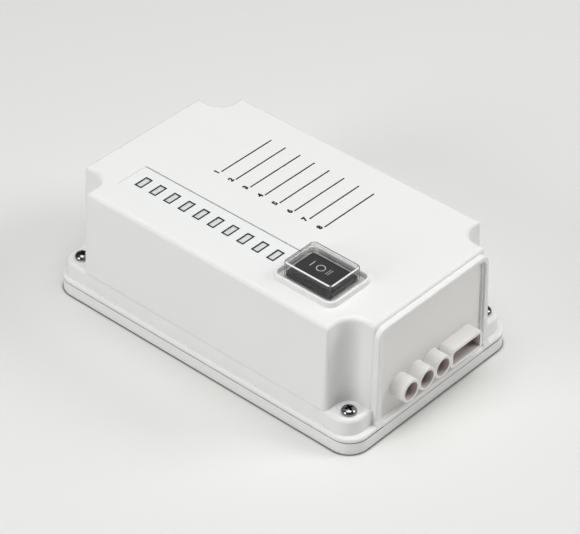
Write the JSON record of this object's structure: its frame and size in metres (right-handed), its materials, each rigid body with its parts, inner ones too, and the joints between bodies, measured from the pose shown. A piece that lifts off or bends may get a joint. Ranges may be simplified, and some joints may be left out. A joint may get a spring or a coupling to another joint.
{
  "type": "leak detection controller",
  "caption": "Wall-mounted controller in a tall drafted white case with notched corners, a row of indicator windows, a rocker switch under a clear hood and a cable entry end.",
  "frame": {"origin": "centre of the base's underside, the face that goes against the wall", "axes": "+X along the long side towards the cable entries, +Y across, +Z out of the wall"},
  "size_m": [0.2046, 0.124, 0.0766],
  "materials": {
    "abs_white": "satin moulded",
    "abs_panel": "satin moulded",
    "seal": "matt",
    "screw_steel": "zinc plated",
    "film": "smooth",
    "light_guide": "clear",
    "board": "solder mask",
    "led": "diffuse",
    "black_plastic": "moulded",
    "rocker_black": "moulded",
    "brass": "plain",
    "clear_plastic": "clear",
    "potting": "potted case",
    "capacitor": "sleeve",
    "sink": "anodised",
    "relay": "moulded",
    "fuse_glass": "glass and nickel",
    "block_green": "moulded",
    "ribbon": "plain",
    "battery_case": "moulded",
    "strap_steel": "zinc plated",
    "plug": "moulded",
    "lead": "plain",
    "lead_dark": "plain"
  },
  "bodies": {
    "case": {"cover": "abs_white", "base": "abs_white", "end_panel": "abs_panel", "base_gasket": "seal", "cover_screws": "screw_steel", "label_film": "film", "light_guides": "light_guide", "indicator_board": "board", "indicator_screws": "screw_steel", "indicator_leds": "led", "switch_body": "black_plastic", "switch_terminals": "brass", "clear_hood": "clear_plastic", "main_board": "board", "main_board_screws": "screw_steel", "transformer": "potting", "capacitors": "capacitor", "bridge_rectifier": "black_plastic", "heat_sink": "sink", "regulator": "black_plastic", "relays": "relay", "fuse": "fuse_glass", "fuse_clips": "brass", "mains_block": "block_green", "valve_block": "block_green", "sensor_block": "block_green", "clamp_screws": "screw_steel", "microcontroller": "black_plastic", "buzzer": "black_plastic", "ribbon_headers": "black_plastic", "ribbon_cable": "ribbon", "battery": "battery_case", "battery_tabs": "brass", "battery_strap": "strap_steel", "strap_screws": "screw_steel", "lead_plugs": "plug", "battery_leads": "lead", "switch_leads": "lead_dark"},
    "rocker": {"rocker": "rocker_black"}
  },
  "joints": [
    {"name": "rocker_pivot", "type": "hinge", "parent": "case", "child": "rocker", "pos_m": [0.0523, -0.0308, 0.0669], "axis": [0, 1, 0], "range_deg": [-9, 9]}
  ]
}
